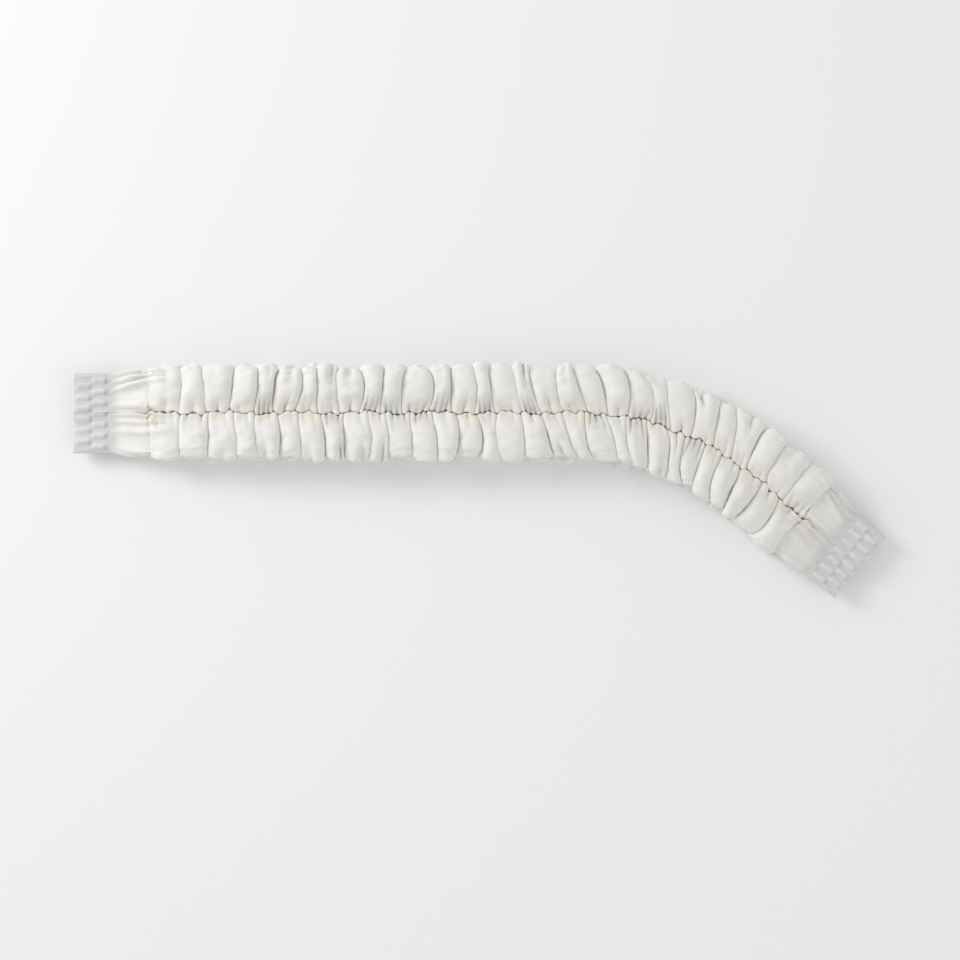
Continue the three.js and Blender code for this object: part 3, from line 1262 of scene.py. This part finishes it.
@dataclass(frozen=True)
class NonwovenFinish:
    """White spunbonded nonwoven: fibres, rows of bond points, a cream tint in the hems."""

    white: Colour = (0.86, 0.85, 0.835)
    shaded: Colour = (0.81, 0.80, 0.785)
    cream: Colour = (0.83, 0.79, 0.70)
    # Grey of the welds' ground: partly the fused film's own tone, partly painted shade between the bars.
    fused_tone_and_shade: Colour = (0.74, 0.735, 0.725)
    cloud_scale: float = 160.0
    cloud_range: Range = (0.35, 0.7)
    patch_scale: float = 130.0
    patch_range: Range = (0.42, 0.62)
    patch_tint: Range = (0.12, 0.85)
    weld_tone_and_shade_range: Range = (0.0, 0.9)
    rough_range: Range = (0.3, 0.7)
    rough: Range = (0.74, 0.9)
    bond_pitch: float = 1.05 * MM
    bond_jitter: float = 0.12
    bond_edge: Range = (0.16, 0.30)
    bond_relief: Relief = Relief(0.05 * MM, 0.5)
    wrinkle_scale: float = 330.0
    wrinkle_relief: Relief = Relief(0.2 * MM, 0.6)
    fibre_scale: float = 2600.0
    fibre_relief: Relief = Relief(0.04 * MM, 0.6)
    glow: float = 0.6
    glow_depth: float = 0.28 * MM
    glow_colour: Colour = (1.0, 1.0, 1.0)
    shine: float = 0.3
    fuzz: float = 0.12
    fuzz_rough: float = 0.4

    def colour(self, kit: NodeKit, clouds: Socket, place: Socket) -> Socket:
        """White in soft clouds, cream in patches of the hems, greyer on the welds' ground between the
        bars, which is partly the fused film's own tone and partly painted shade.

        Args:
            kit: the material's node tree.
            clouds: the cloud pattern.
            place: object coordinates.

        Returns:
            The colour's socket.
        """
        white = kit.blend(kit.ramp(clouds, self.cloud_range), self.white, self.shaded)
        patches = kit.texture("ShaderNodeTexNoise", place, "Fac", Scale=self.patch_scale, Detail=2.0)
        tint = kit.ramp(patches, self.patch_range, self.patch_tint)
        tinted = kit.blend(kit.product(kit.attribute("hem"), tint), white, self.cream)
        # Painted shade, partly the fused film's own tone: greyer on the welds' ground between the bars.
        return kit.blend(kit.ramp(kit.attribute("weld"), (0.0, 1.0), self.weld_tone_and_shade_range), tinted, self.fused_tone_and_shade)

    def normal(self, kit: NodeKit, flat: Socket, place: Socket) -> Socket:
        """Fine wrinkles, then bond points, then fibres.

        Args:
            kit: the material's node tree.
            flat: the place on the flat sheet.
            place: object coordinates.

        Returns:
            The normal's socket.
        """
        ridges = {"noise_type": "RIDGED_MULTIFRACTAL", "Scale": self.wrinkle_scale, "Detail": 3.0}
        wrinkles = kit.texture("ShaderNodeTexNoise", place, "Fac", **ridges)
        grid = {"Scale": 1.0 / self.bond_pitch, "Randomness": self.bond_jitter}
        bonds = kit.texture("ShaderNodeTexVoronoi", flat, "Distance", **grid)
        threads = {"Scale": self.fibre_scale, "Detail": 3.0, "Roughness": 0.7, "Distortion": 1.5}
        fibres = kit.texture("ShaderNodeTexNoise", flat, "Fac", **threads)
        normal = kit.bump(wrinkles, self.wrinkle_relief)
        normal = kit.bump(kit.ramp(bonds, self.bond_edge), self.bond_relief, normal)
        return kit.bump(fibres, self.fibre_relief, normal)

    def build(self) -> bpy.types.Material:
        """Makes the material; patterns follow the flat sheet, wrinkles and patches the object.

        Returns:
            The new material.
        """
        kit = NodeKit("nonwoven")
        flat = kit.flat()
        place = kit.node("ShaderNodeTexCoord").outputs["Object"]
        soft = {"Scale": self.cloud_scale, "Detail": 4.0, "Roughness": 0.6}
        clouds = kit.texture("ShaderNodeTexNoise", flat, "Fac", **soft)
        return kit.finish(
            Base_Color=self.colour(kit, clouds, place),
            Roughness=kit.ramp(clouds, self.rough_range, self.rough),
            Normal=self.normal(kit, flat, place),
            Subsurface_Weight=self.glow,
            Subsurface_Scale=self.glow_depth,
            Subsurface_Radius=self.glow_colour,
            Specular_IOR_Level=self.shine,
            Sheen_Weight=self.fuzz,
            Sheen_Roughness=self.fuzz_rough,
        )


@dataclass(frozen=True)
class ElasticFinish:
    """Cream flat elastic with fine cross ribs."""

    cream: Colour = (0.80, 0.74, 0.60)
    dull: Colour = (0.70, 0.63, 0.49)
    tone_scale: float = 500.0
    tone_range: Range = (0.3, 0.7)
    rib_scale: float = 700.0
    rib_relief: Relief = Relief(0.08 * MM, 0.6)
    rough: Range = (0.5, 0.7)

    def build(self) -> bpy.types.Material:
        """Makes the material; ribs lie across the band on its own map.

        Returns:
            The new material.
        """
        kit = NodeKit("elastic")
        flat = kit.flat()
        waves = {"Scale": self.rib_scale, "Distortion": 0.4, "Detail": 2.0}
        ribs = kit.texture("ShaderNodeTexWave", flat, "Fac", **waves)
        tone = kit.texture("ShaderNodeTexNoise", flat, "Fac", Scale=self.tone_scale, Detail=3.0)
        return kit.finish(
            Base_Color=kit.blend(kit.ramp(tone, self.tone_range), self.cream, self.dull),
            Roughness=kit.ramp(ribs, (0.0, 1.0), self.rough),
            Normal=kit.bump(ribs, self.rib_relief),
        )


@dataclass(frozen=True)
class Lamp:
    """A square area light: its place from the cap's middle and its side, in metres, and its watts."""

    name: str
    offset: tuple[float, float, float]
    size: float
    power: float

    def build(self, middle: Vector) -> None:
        """Sets the light up, facing the cap's middle.

        Args:
            middle: centre of the cap.
        """
        data = bpy.data.lights.new(self.name, "AREA")
        data.shape = "SQUARE"
        data.size = self.size
        data.energy = self.power
        light = bpy.data.objects.new(self.name, data)
        light.location = middle + Vector(self.offset)
        light.rotation_euler = (-Vector(self.offset)).to_track_quat("-Z", "Y").to_euler()
        bpy.context.scene.collection.objects.link(light)


@dataclass(frozen=True)
class Studio:
    """Pale floor, a raking key on the left, a weak fill on the right, a pale sky and the camera."""

    floor_colour: Colour = (0.9, 0.9, 0.9)
    floor_rough: float = 0.7
    floor_half: float = 3.0
    lamps: tuple[Lamp, ...] = (
        Lamp("key", (-0.55, 0.30, 0.38), 0.3, 2.3),
        Lamp("fill", (0.6, -0.35, 0.5), 0.6, 0.8),
    )
    sky_colour: Colour = (1.0, 0.99, 0.975)
    sky_strength: float = 0.68
    lens: float = 85.0
    sensor: float = 36.0
    fill: float = 0.86

    def build_floor(self) -> None:
        """Lays a level square under the cap."""
        side = np.array([-1.0, 1.0]) * self.floor_half
        grid = np.stack(np.meshgrid(side, side, [0.0], indexing="ij"), axis=-1).reshape(-1, 3)
        floor = make_mesh("floor", grid, np.array([[0, 2, 3, 1]]), grid[:, :2], {})
        colour = (*self.floor_colour, 1.0)
        paint = NodeKit("floor_paint").finish(Base_Color=colour, Roughness=self.floor_rough)
        floor.data.materials.append(paint)

    def build_lights(self, middle: Vector) -> None:
        """Sets up the lamps and the sky.

        Args:
            middle: centre of the cap.
        """
        for lamp in self.lamps:
            lamp.build(middle)
        world = bpy.data.worlds.new("sky")
        world.use_nodes = True
        background = world.node_tree.nodes["Background"]
        background.inputs["Color"].default_value = (*self.sky_colour, 1.0)
        background.inputs["Strength"].default_value = self.sky_strength
        bpy.context.scene.world = world
        bpy.context.scene.view_settings.view_transform = "Standard"

    def build_camera(self, low: Vector, high: Vector) -> None:
        """Looks straight down at the cap, so that it fills most of the square frame's width.

        Args:
            low: lowest corner of the cap's box.
            high: highest corner.
        """
        data = bpy.data.cameras.new("camera")
        data.lens = self.lens
        data.sensor_width = self.sensor
        camera = bpy.data.objects.new("camera", data)
        distance = (high.x - low.x) / self.fill * self.lens / self.sensor
        camera.location = ((low.x + high.x) / 2, (low.y + high.y) / 2, high.z + distance)
        bpy.context.scene.collection.objects.link(camera)
        bpy.context.scene.camera = camera


def write_sizes() -> None:
    """Updates the view layer."""
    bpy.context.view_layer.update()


def main() -> None:
    """Builds the sheet, the elastics and the studio, in that order."""
    logging.basicConfig(level=logging.INFO, format="%(name)s: %(message)s")
    LOG.info("frame: %d nodes", len(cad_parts))
    CapSheet().build().data.materials.append(NonwovenFinish().build())
    elastic_look = ElasticFinish().build()
    for side in Side:
        HemElastic(side).build().data.materials.append(elastic_look)
    studio = Studio()
    studio.build_floor()
    studio.build_lights((CAD_BOX[0] + CAD_BOX[1]) / 2)
    studio.build_camera(*CAD_BOX)
    write_sizes()


if __name__ == "__main__":
    main()
